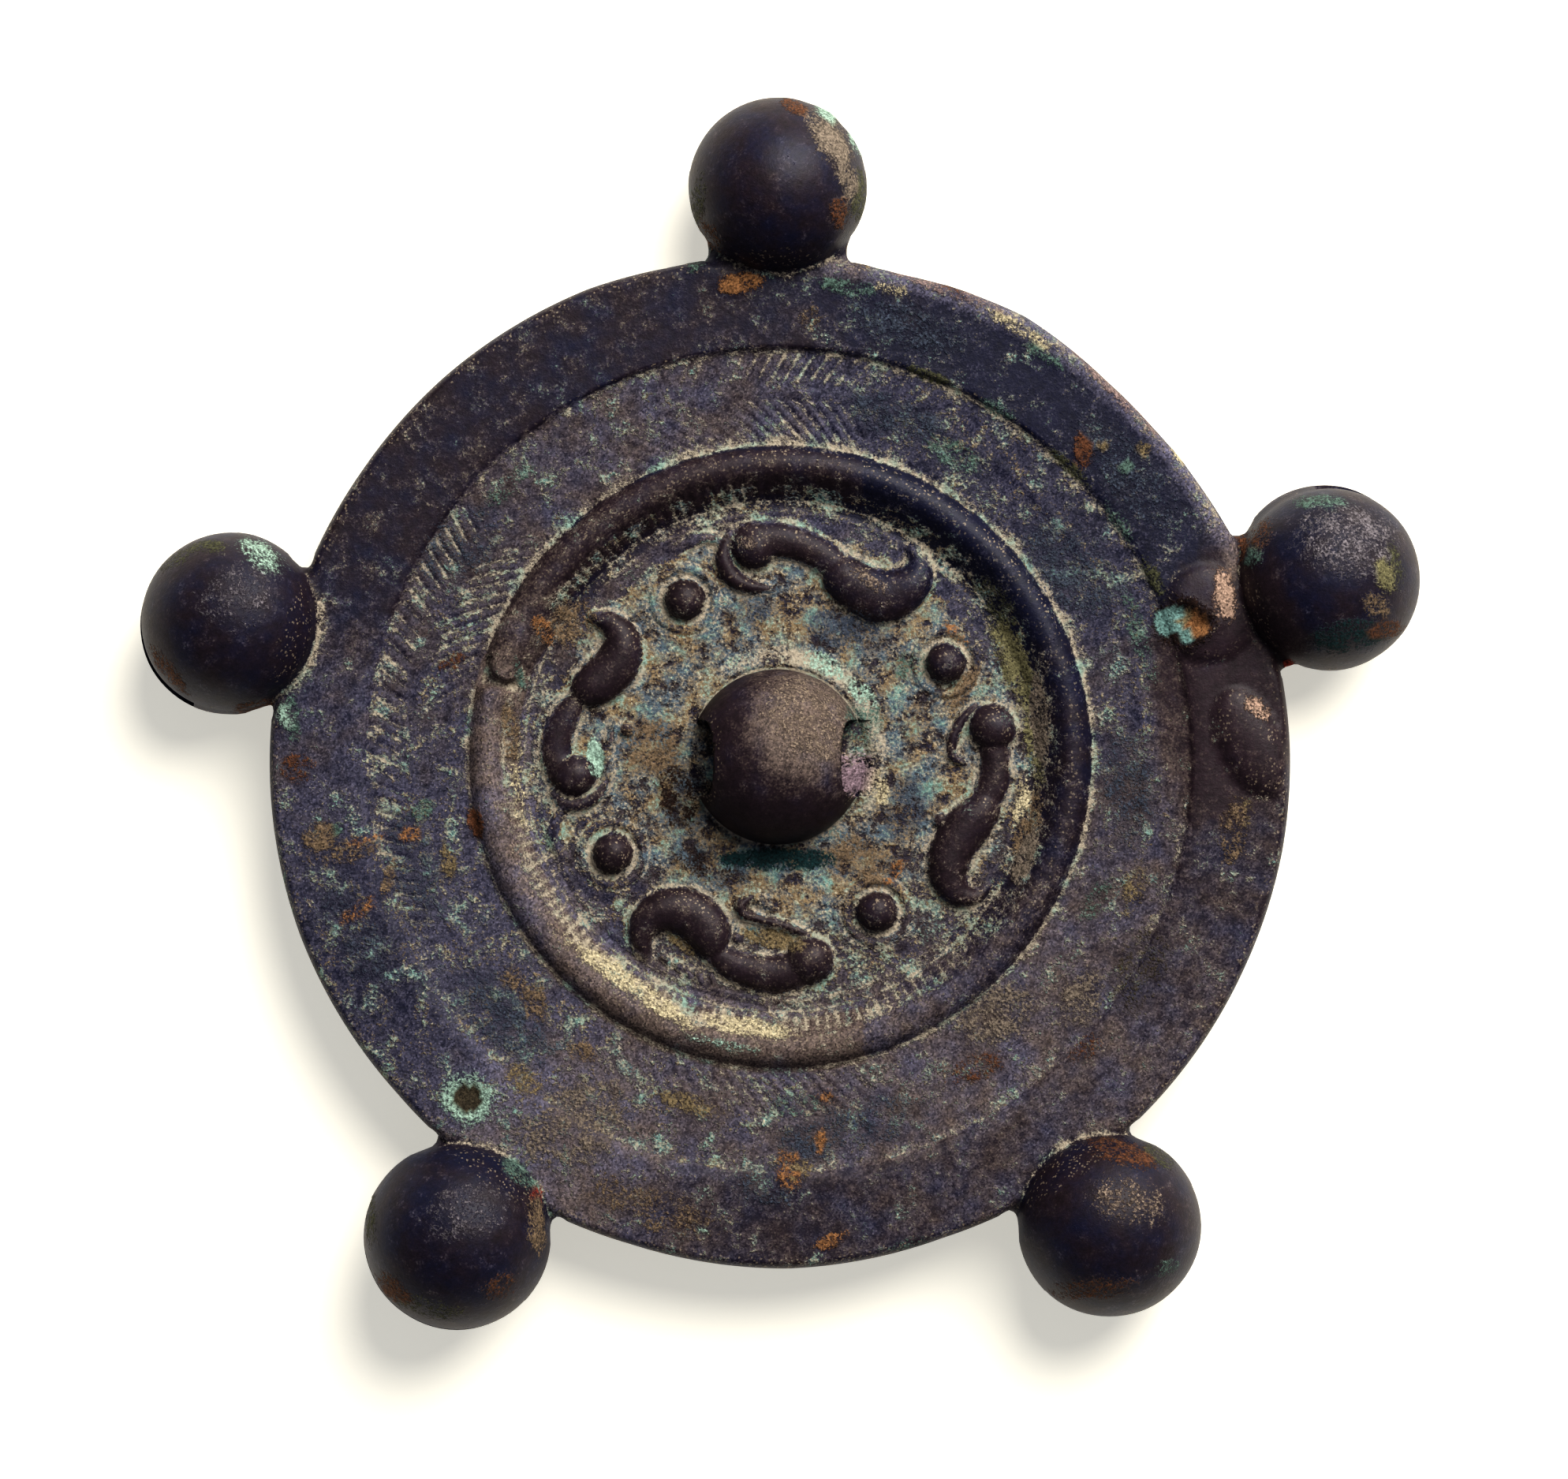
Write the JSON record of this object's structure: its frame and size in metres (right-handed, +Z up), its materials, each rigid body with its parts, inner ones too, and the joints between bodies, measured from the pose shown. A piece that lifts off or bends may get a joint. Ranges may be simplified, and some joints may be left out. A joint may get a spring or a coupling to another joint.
{
  "type": "bronze bell mirror",
  "caption": "Round cast bronze mirror with hollow slit bells round its rim; the back has a pierced knob, coiled beasts, nipples, a ring ridge and comb-tooth bands",
  "frame": {"origin": "on the surface the mirror lies on, under the middle of the outline of its bells", "axes": "+Z up out of the decorated back, +Y towards the bell at twelve o'clock, +X to the right with the back seen from above, along the cord hole through the knob"},
  "size_m": [0.1206, 0.1162, 0.0176],
  "materials": {
    "patinated_bronze": "dark brown-black burial patina on cast bronze, rubbed smooth on the high places, with green, blue and tan corrosion and earth in the low ones"
  },
  "bodies": {
    "root": {"plate_with_bells": "patinated_bronze", "inner_field": "patinated_bronze", "knob": "patinated_bronze"}
  },
  "joints": []
}
